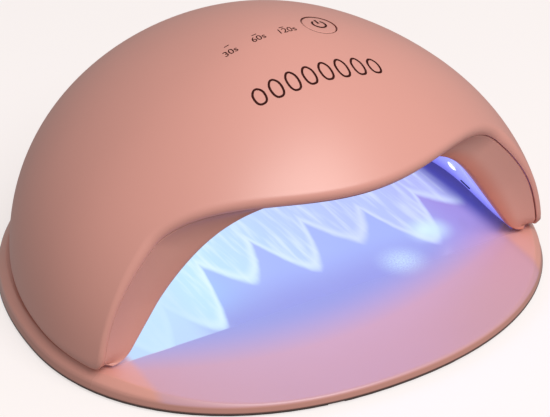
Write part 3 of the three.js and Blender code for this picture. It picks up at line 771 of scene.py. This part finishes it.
def dome_columns(count=236, rings=80, lip_steps=8):
    """Meridians from the crown to the rim, round the rolled lip and back up the inside."""
    meridians = [meridian(turn, rings) for turn in even_turns(count)]
    columns = []
    for i, line in enumerate(meridians):
        rim = line[-1]
        before, after = meridians[i - 1][-1], meridians[(i + 1) % count][-1]
        normal = dome_normal(rim)
        out = normal.cross((after - before).normalized())
        if out.dot(rim - line[-2]) < 0:
            out = -out
        out.normalize()
        column = list(line)
        lip, wall = lip_radius(rim.z), shell_wall(rim.z)
        for k in range(1, lip_steps + 1):
            angle = math.pi / 2 * k / lip_steps
            column.append(rim + out * (lip * math.sin(angle)) - normal * (lip * (1 - math.cos(angle))))
        column.append(rim + out * lip - normal * (wall - 0.2))
        column.append(rim + out * (lip - 0.3) - normal * wall)
        for point in line[::-4]:
            column.append(point - dome_normal(point) * wall)
        columns.append(column)
    columns.append(columns[0])
    return columns


class LAMP_OT_dome(bpy.types.Operator):
    """Builds the rolled-lip dome of the housing"""
    bl_idname = "lamp.dome"
    bl_label = "Dome"

    def execute(self, context):
        sizes = context.scene.lamp_sizes
        dome = lay_grid("housing_dome", dome_columns())
        close_up(dome)
        skin = on_dome(*BUTTON_AT)
        radius = sizes.button + sizes.button_gap
        cylinder = bpy.ops.mesh.primitive_cylinder_add
        hole = add(cylinder, vertices=96, radius=radius, depth=0.012, location=skin * MM)
        hole.rotation_euler = dome_normal(skin).to_track_quat("Z", "Y").to_euler()
        cut(dome, hole)
        hole = add(cylinder, vertices=48, radius=JACK_OPENING * MM, depth=0.03,
                   location=Vector(JACK_AT) * MM, rotation=(math.pi / 2, 0, 0))
        cut(dome, hole)
        bpy.ops.object.shade_smooth_by_angle(angle=math.radians(40))
        wear(dome, MATERIALS["shell"])
        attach(dome, "housing")
        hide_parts("dome_shell")
        return {"FINISHED"}


MOUTH_MIDDLE_Z = 20
BEZEL_RECESS = 0.5
BEZEL_PLATE = 1.4
BEZEL_FLANGE = 2.6
BEZEL_BULGE = 0.9
BEZEL_FOOT_RADIUS = 4.5
BEZEL_FOOT_SETBACK = 0.55
BEZEL_GAP = 0.14


def bezel_outer(turn):
    """Where the bezel meets the inside of the dome, along a ray from the middle of the mouth."""
    def on_ray(distance):
        x, z = distance * math.cos(turn), MOUTH_MIDDLE_Z + distance * math.sin(turn)
        height = max(z, DOME_BOTTOM_Z)
        y = front_edge_y(x) + BEZEL_FOOT_SETBACK * foot_setback(height) + BEZEL_RECESS
        return Vector((x, y, z)), Vector((x, y, height))

    reach = bisect(0, 140, 36, lambda distance: dome_depth(on_ray(distance)[1]) > 0)
    skin, above_foot = on_ray(reach)
    return skin - dome_normal(above_foot) * (shell_wall(skin.z) + BEZEL_GAP)


def bezel_section(inner, outer, outward, faces=12, lip_steps=6):
    """A closed section from the outer edge to the inner and back behind, and its nearness to the inner."""
    back = Vector((0, 1, 0))
    section = [outer + back * 3 + outward * 0.5, outer + back * 1.5, outer + back * 0.4]
    near = [0, 0, 0]
    for k in range(faces + 1):
        share = k / faces
        point = outer.lerp(inner, 0.04 + 0.88 * share)
        section.append(point + back * (BEZEL_BULGE * 4 * share * (1 - share)))
        near.append(share)
    start = outer.lerp(inner, 0.92)
    end = inner + back * min(1.3, 0.3 * (outer - inner).length)
    for k in range(1, lip_steps + 1):
        share = k / lip_steps
        section.append(start.lerp(inner, share).lerp(inner.lerp(end, share), share))
        near.append(1)
    section.append(inner + back * BEZEL_FLANGE)
    section.append(inner + back * BEZEL_FLANGE + outward * BEZEL_PLATE)
    section.append(inner + back * (BEZEL_PLATE + 0.4) + outward * BEZEL_PLATE)
    section.append(inner.lerp(outer, 0.5) + back * (BEZEL_PLATE + BEZEL_BULGE))
    section.append(section[0].copy())
    return section, near + [1, 1, 1, 0.5, 0]


def bezel_columns(count=240):
    """Sections of the bezel from one foot over the mouth to the other, and their nearness inwards."""
    columns, nearness = [], []
    for i in range(count + 1):
        side = 1 if i <= count / 2 else -1
        share = 2 * i / count if side > 0 else 2 - 2 * i / count
        # Sections stand closer together near the feet.
        share *= 0.25 + 0.75 * share
        x, z = arch_point(share)
        low_part = max(0, 1 - (z - ARCH[0][1]) / BEZEL_FOOT_RADIUS)
        x += BEZEL_FOOT_RADIUS * (1 - math.sqrt(1 - low_part ** 2))
        turn = math.atan2(z - MOUTH_MIDDLE_Z, x)
        outward = Vector((math.cos(turn), 0, math.sin(turn)))
        section, near = bezel_section(Vector((x, inner_edge_y(x), z)), bezel_outer(turn), outward)
        for point in section:
            point.x *= side
            point.z = max(point.z, DOME_BOTTOM_Z + 0.1)
        columns.append(section)
        nearness.append(near)
    return columns, nearness


class LAMP_OT_bezel(bpy.types.Operator):
    """Builds the concave bezel round the mouth"""
    bl_idname = "lamp.bezel"
    bl_label = "Bezel"

    def execute(self, context):
        bezel = lay_grid("mouth_bezel", *bezel_columns())
        close_up(bezel, 40)
        wear(bezel, MATERIALS["bezel"])
        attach(bezel, "housing")
        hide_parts("front_bezel")
        return {"FINISHED"}


# Inset and depth below the floor, down the rim: rounded edge, band, shoulder, wall.
FRONT_RIM = (
    (2.8, 0), (1.8, 0), (1.35, 0.06), (1.05, 0.24),
    (0.8, 0.5), (0.62, 0.85), (0.5, 1.2), (0.4, 1.6), (0.3, 2.2),
)
SIDE_RIM = (
    (5.3, 0), (4.3, 0), (3.95, 0.08), (3.65, 0.28),
    (1.75, 2.2), (1.3, 2.6), (1.05, 3.1), (0.9, 3.8), (0.6, 5),
)
# Inset and height of the rim's lower edge, and how the tray's underside runs in from it.
LOWER_EDGE = ((0.02, 1.4), (0.08, 1.0), (0.4, 0.8), (3.0, 0.8))
UNDERSIDE_SHARES = (0.97, 0.6, 0.2, 0)
TRAY_WALL = 2.2


def towards_middle(turn, inset, share):
    """A point of the plan, at a share of the way from the tray's middle to its inset outline."""
    x, y = base_outline(turn, inset)
    return x * share, BASE_CENTRE_Y + (y - BASE_CENTRE_Y) * share


def tray_columns(count=240, floor_steps=26):
    """Lines from the middle of the floor, over the rim and back under the tray."""
    columns = []
    for i in range(count + 1):
        turn = 2 * math.pi * i / count
        rise = floor_rise(base_outline(turn, 0)[1])
        column = []
        for k in range(floor_steps):
            x, y = towards_middle(turn, 8, k / floor_steps)
            column.append((x, y, floor_height(y)))
        for front, side in zip(FRONT_RIM, SIDE_RIM):
            inset, drop = (a + (b - a) * rise for a, b in zip(front, side))
            x, y = base_outline(turn, inset)
            column.append((x, y, floor_height(y) - drop))
        for inset, z in LOWER_EDGE:
            column.append((*base_outline(turn, inset), z))
        for share in UNDERSIDE_SHARES:
            x, y = towards_middle(turn, 3.4, share)
            column.append((x, y, floor_height(y) - TRAY_WALL))
        columns.append(column)
    return columns


LUG_AT = (0.027, -0.0971, 0.00095)
LUG_SIZE = (0.005, 0.0022, 0.0014)
LUG_TURN = 0.24


class LAMP_OT_tray(bpy.types.Operator):
    """Builds the base tray with its palm rest and metallised floor"""
    bl_idname = "lamp.tray"
    bl_label = "Base tray"

    def execute(self, context):
        tray = lay_grid("tray_shell", tray_columns())
        close_up(tray)
        wear(tray, MATERIALS["tray"])
        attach(tray, "base")
        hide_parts("base_tray")
        for side in (-1, 1):
            tab = add(bpy.ops.mesh.primitive_cube_add, size=1, location=(side * LUG_AT[0], *LUG_AT[1:]))
            tab.name = "tray_lug_right" if side > 0 else "tray_lug_left"
            tab.scale = LUG_SIZE
            tab.rotation_euler.z = side * LUG_TURN
            settle(tab)
            edit_all(tab)
            bpy.ops.mesh.bevel(offset=0.0003, segments=3)
            leave_edit()
            bpy.ops.object.shade_smooth_by_angle(angle=math.radians(40))
            wear(tab, MATERIALS["tray"])
            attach(tab, "base")
        return {"FINISHED"}


def gasket_columns(count=200):
    """Square sections of the dark strip in the gap, from one foot of the dome round the back to the other."""
    inset, width, low, high = 2.4, 2.0, FLOOR_REAR_Z + 0.15, DOME_BOTTOM_Z + 0.6
    middle = Vector((0, DOME_CENTRE_Y, 0))
    first, last = math.radians(-16), math.radians(196)
    columns = []
    for i in range(count + 1):
        point = dome_point(first + (last - first) * i / count, DOME_BOTTOM_Z)
        point.z = 0
        inward = (middle - point).normalized()
        outer, inner = point + inward * inset, point + inward * (inset + width)
        up, down = Vector((0, 0, high)), Vector((0, 0, low))
        columns.append([outer + down, outer + up, inner + up, inner + down, outer + down])
    return columns


class LAMP_OT_gasket(bpy.types.Operator):
    """Lays a dark strip in the gap under the dome's edge, where it stands on the tray: painted shade for the
    shadow in that gap
    """
    bl_idname = "lamp.gasket"
    bl_label = "Gap shade strip"

    def execute(self, context):
        gasket = lay_grid("housing_gasket", gasket_columns())
        close_up(gasket, 40)
        wear(gasket, MATERIALS["gasket"])
        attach(gasket, "housing")
        return {"FINISHED"}


class LAMP_OT_reflector(bpy.types.Operator):
    """Builds the fluted silver reflector"""
    bl_idname = "lamp.reflector"
    bl_label = "Reflector"

    def execute(self, context):
        across, up = 220, 80
        columns, values = [], []
        for i in range(across + 1):
            made = [bowl_point(math.pi * i / across, j / up) for j in range(up + 1)]
            columns.append([point for point, _ in made])
            values.append([fluting for _, fluting in made])
        bowl = lay_grid("fluted_reflector", columns, values)
        edit_all(bowl)
        bpy.ops.mesh.remove_doubles(threshold=DOUBLES)
        leave_edit()
        bpy.ops.object.shade_smooth()
        # The inner face looks down and forward, and the wall is added behind it.
        if bowl.data.polygons[len(bowl.data.polygons) // 2].normal.z > 0:
            edit_all(bowl)
            bpy.ops.mesh.flip_normals()
            leave_edit()
        wall = bowl.modifiers.new("wall", "SOLIDIFY")
        wall.thickness = 0.0014
        wall.offset = -1
        apply_modifiers(bowl)
        wear(bowl, MATERIALS["liner"])
        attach(bowl, "housing")
        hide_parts("reflector_liner")
        return {"FINISHED"}


class LAMP_OT_slot(bpy.types.Operator):
    """Lays the small slot on the reflector's right wall: a dark navy patch, painted shade for the opening"""
    bl_idname = "lamp.slot"
    bl_label = "Wall slot"

    def execute(self, context):
        length, height, level = 7.2, 1.0, 0.06
        turns = [math.pi / 2 * k / 400 for k in range(401)]
        wall = [bowl_point(turn, level)[0] for turn in turns]
        at = min(range(len(wall)), key=lambda k: abs(wall[k].y + 20))
        middle = wall[at]
        along = (wall[at + 3] - wall[at - 3]).normalized()
        up = (bowl_point(turns[at], level + 0.02)[0] - bowl_point(turns[at], level - 0.02)[0]).normalized()
        inward = along.cross(up)
        if inward.x > 0:
            inward = -inward
        slot = add(bpy.ops.mesh.primitive_cylinder_add, vertices=32, radius=0.5, depth=1)
        slot.name = "wall_slot"
        for vertex in slot.data.vertices:
            side = math.copysign((length - height) / 2, vertex.co.x) if abs(vertex.co.x) > 0.001 else 0
            local = along * (vertex.co.x * height + side) + up * (vertex.co.y * height)
            vertex.co = (middle + local + inward * (vertex.co.z * 0.5 + 0.2)) * MM
        close_up(slot, 40)
        wear(slot, MATERIALS["slot"])
        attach(slot, "housing")
        return {"FINISHED"}


def lay_on_dome(obj, centre, lift):
    """Bends a flat mesh, drawn round the origin in metres, onto the dome round a point of its plan."""
    settle(obj)
    for vertex in obj.data.vertices:
        x, y = centre[0] + vertex.co.x / MM, centre[1] + vertex.co.y / MM
        vertex.co = on_dome(x, y, lift + vertex.co.z / MM) * MM
    return obj


def print_on_dome(obj, name, centre, body="housing", lift=0.05):
    obj.name = name
    lay_on_dome(obj, centre, lift)
    wear(obj, MATERIALS["ink"])
    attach(obj, body)


# Each time mark, and where it and its dash lie on the crown.
TIME_MARKS = (
    ("30s", (-21.2, -14.0), (-20.6, -9.9)),
    ("60s", (-9.4, -13.9), (-9.8, -11.1)),
    ("120s", (2.1, -14.6), (1.1, -12.1)),
)
DASH_SIZE = (0.0019, 0.00045, 1)
NAIL_COUNT = 8
NAIL_PITCH = 6.9
NAIL_HEIGHT = 8.6
NAIL_LINE = 0.85
NAILS_AT = (1, -38)


class LAMP_OT_marks(bpy.types.Operator):
    """Prints the time marks with their dashes and the row of nail outlines on the crown"""
    bl_idname = "lamp.marks"
    bl_label = "Printed marks"

    def execute(self, context):
        for words, place, _ in TIME_MARKS:
            text = add(bpy.ops.object.text_add, location=(0, 0, 0))
            text.data.body = words
            text.data.size = context.scene.lamp_sizes.mark_height
            text.data.align_x = "CENTER"
            text.data.align_y = "CENTER"
            text.data.offset = 0.00002
            bpy.ops.object.convert(target="MESH")
            print_on_dome(text, "time_mark_" + words, place)
        for words, _, place in TIME_MARKS:
            dash = add(bpy.ops.mesh.primitive_plane_add, size=1)
            dash.scale = DASH_SIZE
            print_on_dome(dash, "time_dash_" + words, place)
        for index in range(NAIL_COUNT):
            from_middle = index - (NAIL_COUNT - 1) / 2
            height = NAIL_HEIGHT - 0.35 * (abs(from_middle) - 1.5) ** 2
            outline = nail_outline((context.scene.lamp_sizes.nail_width / MM, height), NAIL_LINE)
            place = (from_middle * NAIL_PITCH + NAILS_AT[0], NAILS_AT[1])
            print_on_dome(outline, "nail_outline_%d" % (index + 1), place)
        return {"FINISHED"}


def nail_outline(size, line):
    """A flat ring in the shape of an almond nail, made from a circle."""
    ring = add(bpy.ops.mesh.primitive_circle_add, vertices=64, radius=1, fill_type="NGON")
    for vertex in ring.data.vertices:
        x, y = vertex.co.x, vertex.co.y
        tip = 1 - 0.28 * max(0, y) ** 2
        vertex.co.x = signed_power(x, 0.8) * size[0] / 2 * tip * MM
        vertex.co.y = signed_power(y, 0.85) * size[1] / 2 * MM
    edit_all(ring)
    bpy.ops.mesh.inset(thickness=line * MM)
    bpy.ops.mesh.delete(type="FACE")
    leave_edit()
    return ring


# Down the cap: share of its radius, and how far below the dome's skin. The top follows the dome.
CAP_PROFILE = (
    (0, 0.1), (0.15, 0.1), (0.3, 0.1), (0.45, 0.1), (0.6, 0.1), (0.75, 0.1),
    (0.88, 0.1), (0.94, 0.12), (0.97, 0.2), (1.0, 0.4), (1.0, 1.5), (1.0, 4.0),
)
CAP_SIDES = 72
SYMBOL_RADIUS = 2.6
SYMBOL_LINE = 0.75
SYMBOL_GAP = 0.6
SYMBOL_BAR_LENGTH = 3.1
SYMBOL_BAR_Y = 1.9
# Painted shade: the dark ring drawn in the gap round the cap, in the ink's colour.
BUTTON_RING_OUTSET = 0.28
BUTTON_RING_LINE = 0.44


class LAMP_OT_button(bpy.types.Operator):
    """Builds the power button's cap and prints its symbol"""
    bl_idname = "lamp.button"
    bl_label = "Power button"

    def execute(self, context):
        centre, radius = BUTTON_AT, context.scene.lamp_sizes.button / MM
        base = Vector((*centre, surface_z(*centre)))
        normal = dome_normal(base)
        along = Vector((1, 0, 0)) - normal * normal.x
        along.normalize()
        across = normal.cross(along)
        columns = []
        for i in range(CAP_SIDES + 1):
            turn = 2 * math.pi * i / CAP_SIDES
            column = []
            for share, drop in CAP_PROFILE:
                flat = base + (along * math.cos(turn) + across * math.sin(turn)) * radius * share
                sag = (flat - on_dome(flat.x, flat.y)).dot(normal)
                column.append(flat - normal * (sag + drop))
            columns.append(column)
        cap = lay_grid("power_button_cap", columns)
        close_up(cap, 50)
        wear(cap, MATERIALS["shell"])
        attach(cap, "button")
        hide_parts("power_button")
        ring = ring_mesh(SYMBOL_RADIUS, SYMBOL_LINE, SYMBOL_GAP)
        print_on_dome(ring, "power_symbol_ring", centre, "button")
        bar = add(bpy.ops.mesh.primitive_plane_add, size=1)
        bar.scale = (SYMBOL_LINE * MM, SYMBOL_BAR_LENGTH * MM, 1)
        bar.location.y = SYMBOL_BAR_Y * MM
        settle(bar)
        edit_all(bar)
        bpy.ops.mesh.subdivide(number_cuts=3)
        leave_edit()
        print_on_dome(bar, "power_symbol_bar", centre, "button")
        # Painted shade in the gap round the cap.
        gap = ring_mesh(radius + BUTTON_RING_OUTSET, BUTTON_RING_LINE)
        print_on_dome(gap, "power_button_gap_shade", centre, lift=-0.1)
        return {"FINISHED"}


def ring_mesh(radius, line, gap=0.0):
    """A flat ring round the origin, open at the top over an angle if gap is given."""
    sides = 96
    columns = []
    for i in range(sides + 1):
        turn = math.pi / 2 + gap + (2 * math.pi - 2 * gap) * i / sides
        radii = (radius - line / 2, radius + line / 2)
        columns.append([(r * math.cos(turn), r * math.sin(turn), 0) for r in radii])
    ring = lay_grid("ring", columns)
    edit_all(ring)
    bpy.ops.mesh.remove_doubles(threshold=0.000005)
    bpy.ops.mesh.normals_make_consistent(inside=False)
    leave_edit()
    return ring


# The studio, in metres and watts.
KEY_AT = Vector((0.06, -0.76, 1.08))
KEY_AIM = Vector((0, 0, 0.05))
KEY_SIZE = 0.85
KEY_POWER = 14.2
GLOW_AT = Vector((0.01, -0.02, 0.062))
GLOW_DIRECTION = Vector((0, -0.35, -1))
GLOW_POWER = 0.065
CAMERA_AT = Vector((-0.3428, -0.5892, 0.4387))
CAMERA_AIM = Vector((0.0219, 0.0273, 0))
FLOOR_DROP = 0.0002
FLOOR_SIZE = 6
WALL_RADIUS = 2.9


def paper(obj, name, surface, strength):
    """Matte studio paper, evenly lit, that puts no light of its own on the object."""
    material, tree, shader = new_material(name)
    glow = {"Emission Color": linear("#fcf5f3"), "Emission Strength": strength}
    feed(tree, shader, {**surface, **glow})
    wear(obj, material)
    obj.visible_diffuse = False
    obj.visible_glossy = False


def point_along(context, data, place, direction):
    """Adds a light or a camera that looks along a direction."""
    holder = bpy.data.objects.new(data.name, data)
    context.scene.collection.objects.link(holder)
    holder.location = place
    holder.rotation_euler = direction.to_track_quat("-Z", "Y").to_euler()
    return holder


class LAMP_OT_stage(bpy.types.Operator):
    """Adds the floor, the studio wall, the lights and the camera"""
    bl_idname = "lamp.stage"
    bl_label = "Stage"

    def execute(self, context):
        below = (0, 0, CAD_LOW.z - FLOOR_DROP)
        floor = add(bpy.ops.mesh.primitive_plane_add, size=FLOOR_SIZE, location=below)
        floor.name = "studio_floor"
        matte = {"Roughness": 1.0, "Specular IOR Level": 0.0}
        paper(floor, "matte_studio_paper", {"Base Color": linear("#8f8b8a"), **matte}, 0.745)
        sphere = bpy.ops.mesh.primitive_uv_sphere_add
        wall = add(sphere, segments=48, ring_count=24, radius=WALL_RADIUS)
        wall.name = "studio_wall"
        paper(wall, "matte_studio_paper_wall", {"Base Color": (0, 0, 0, 1)}, 0.95)
        wall.visible_shadow = False
        world = bpy.data.worlds.new("studio_air")
        context.scene.world = world
        world.use_nodes = True
        background = world.node_tree.nodes["Background"]
        feed(world.node_tree, background, {"Color": (1.0, 0.985, 0.97, 1), "Strength": 0.35})
        key = bpy.data.lights.new("key", "AREA")
        key.energy = KEY_POWER
        key.size = KEY_SIZE
        key.color = (1, 0.99, 0.985)
        point_along(context, key, KEY_AT, KEY_AIM - KEY_AT)
        glow = bpy.data.lights.new("mouth_glow", "AREA")
        glow.shape = "RECTANGLE"
        glow.size, glow.size_y = 0.1, 0.05
        glow.energy = GLOW_POWER
        glow.color = (0.25, 0.42, 1)
        holder = point_along(context, glow, GLOW_AT, GLOW_DIRECTION)
        holder.visible_glossy = False
        holder.visible_camera = False
        lens = bpy.data.cameras.new("camera")
        lens.sensor_width = 36
        lens.lens = 133.5
        lens.clip_start = 0.05
        context.scene.camera = point_along(context, lens, CAMERA_AT, CAMERA_AIM - CAMERA_AT)
        context.scene.view_settings.view_transform = "Standard"
        return {"FINISHED"}


class LAMP_OT_finishes(bpy.types.Operator):
    """Gives the CAD nodes that stay their finishes"""
    bl_idname = "lamp.finishes"
    bl_label = "Finishes of the small parts"

    def execute(self, context):
        kinds = (
            ("uv_led_", "led"),
            ("led_board_", "board"),
            ("base_bottom_cover", "dark"),
            ("housing_bottom_frame", "dark"),
            ("base_foot_", "rubber"),
            ("dc_jack", "dark"),
            ("indicator_", "ink"),
        )
        for name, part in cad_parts.items():
            if part.hide_render:
                continue
            chosen = [kind for start, kind in kinds if name.startswith(start)] or ["metal"]
            wear(part, MATERIALS[chosen[0]])
        return {"FINISHED"}


class LAMP_PT_panel(bpy.types.Panel):
    bl_label = "Nail lamp"
    bl_space_type = "VIEW_3D"
    bl_region_type = "UI"
    bl_category = "Nail lamp"

    def draw(self, context):
        for operator in OPERATORS:
            self.layout.operator(operator.bl_idname)


OPERATORS = [
    LAMP_OT_stage,
    LAMP_OT_dome,
    LAMP_OT_bezel,
    LAMP_OT_tray,
    LAMP_OT_gasket,
    LAMP_OT_reflector,
    LAMP_OT_slot,
    LAMP_OT_button,
    LAMP_OT_marks,
    LAMP_OT_finishes,
]
CLASSES = [LampColours, LampSizes, *OPERATORS, LAMP_PT_panel]


def register():
    for entry in CLASSES:
        bpy.utils.register_class(entry)
    bpy.types.Scene.lamp_colours = bpy.props.PointerProperty(type=LampColours)
    bpy.types.Scene.lamp_sizes = bpy.props.PointerProperty(type=LampSizes)


def unregister():
    del bpy.types.Scene.lamp_colours
    del bpy.types.Scene.lamp_sizes
    for entry in reversed(CLASSES):
        bpy.utils.unregister_class(entry)


def main():
    register()
    make_materials()
    for operator in OPERATORS:
        group, name = operator.bl_idname.split(".")
        getattr(getattr(bpy.ops, group), name)()


if __name__ == "__main__":
    main()
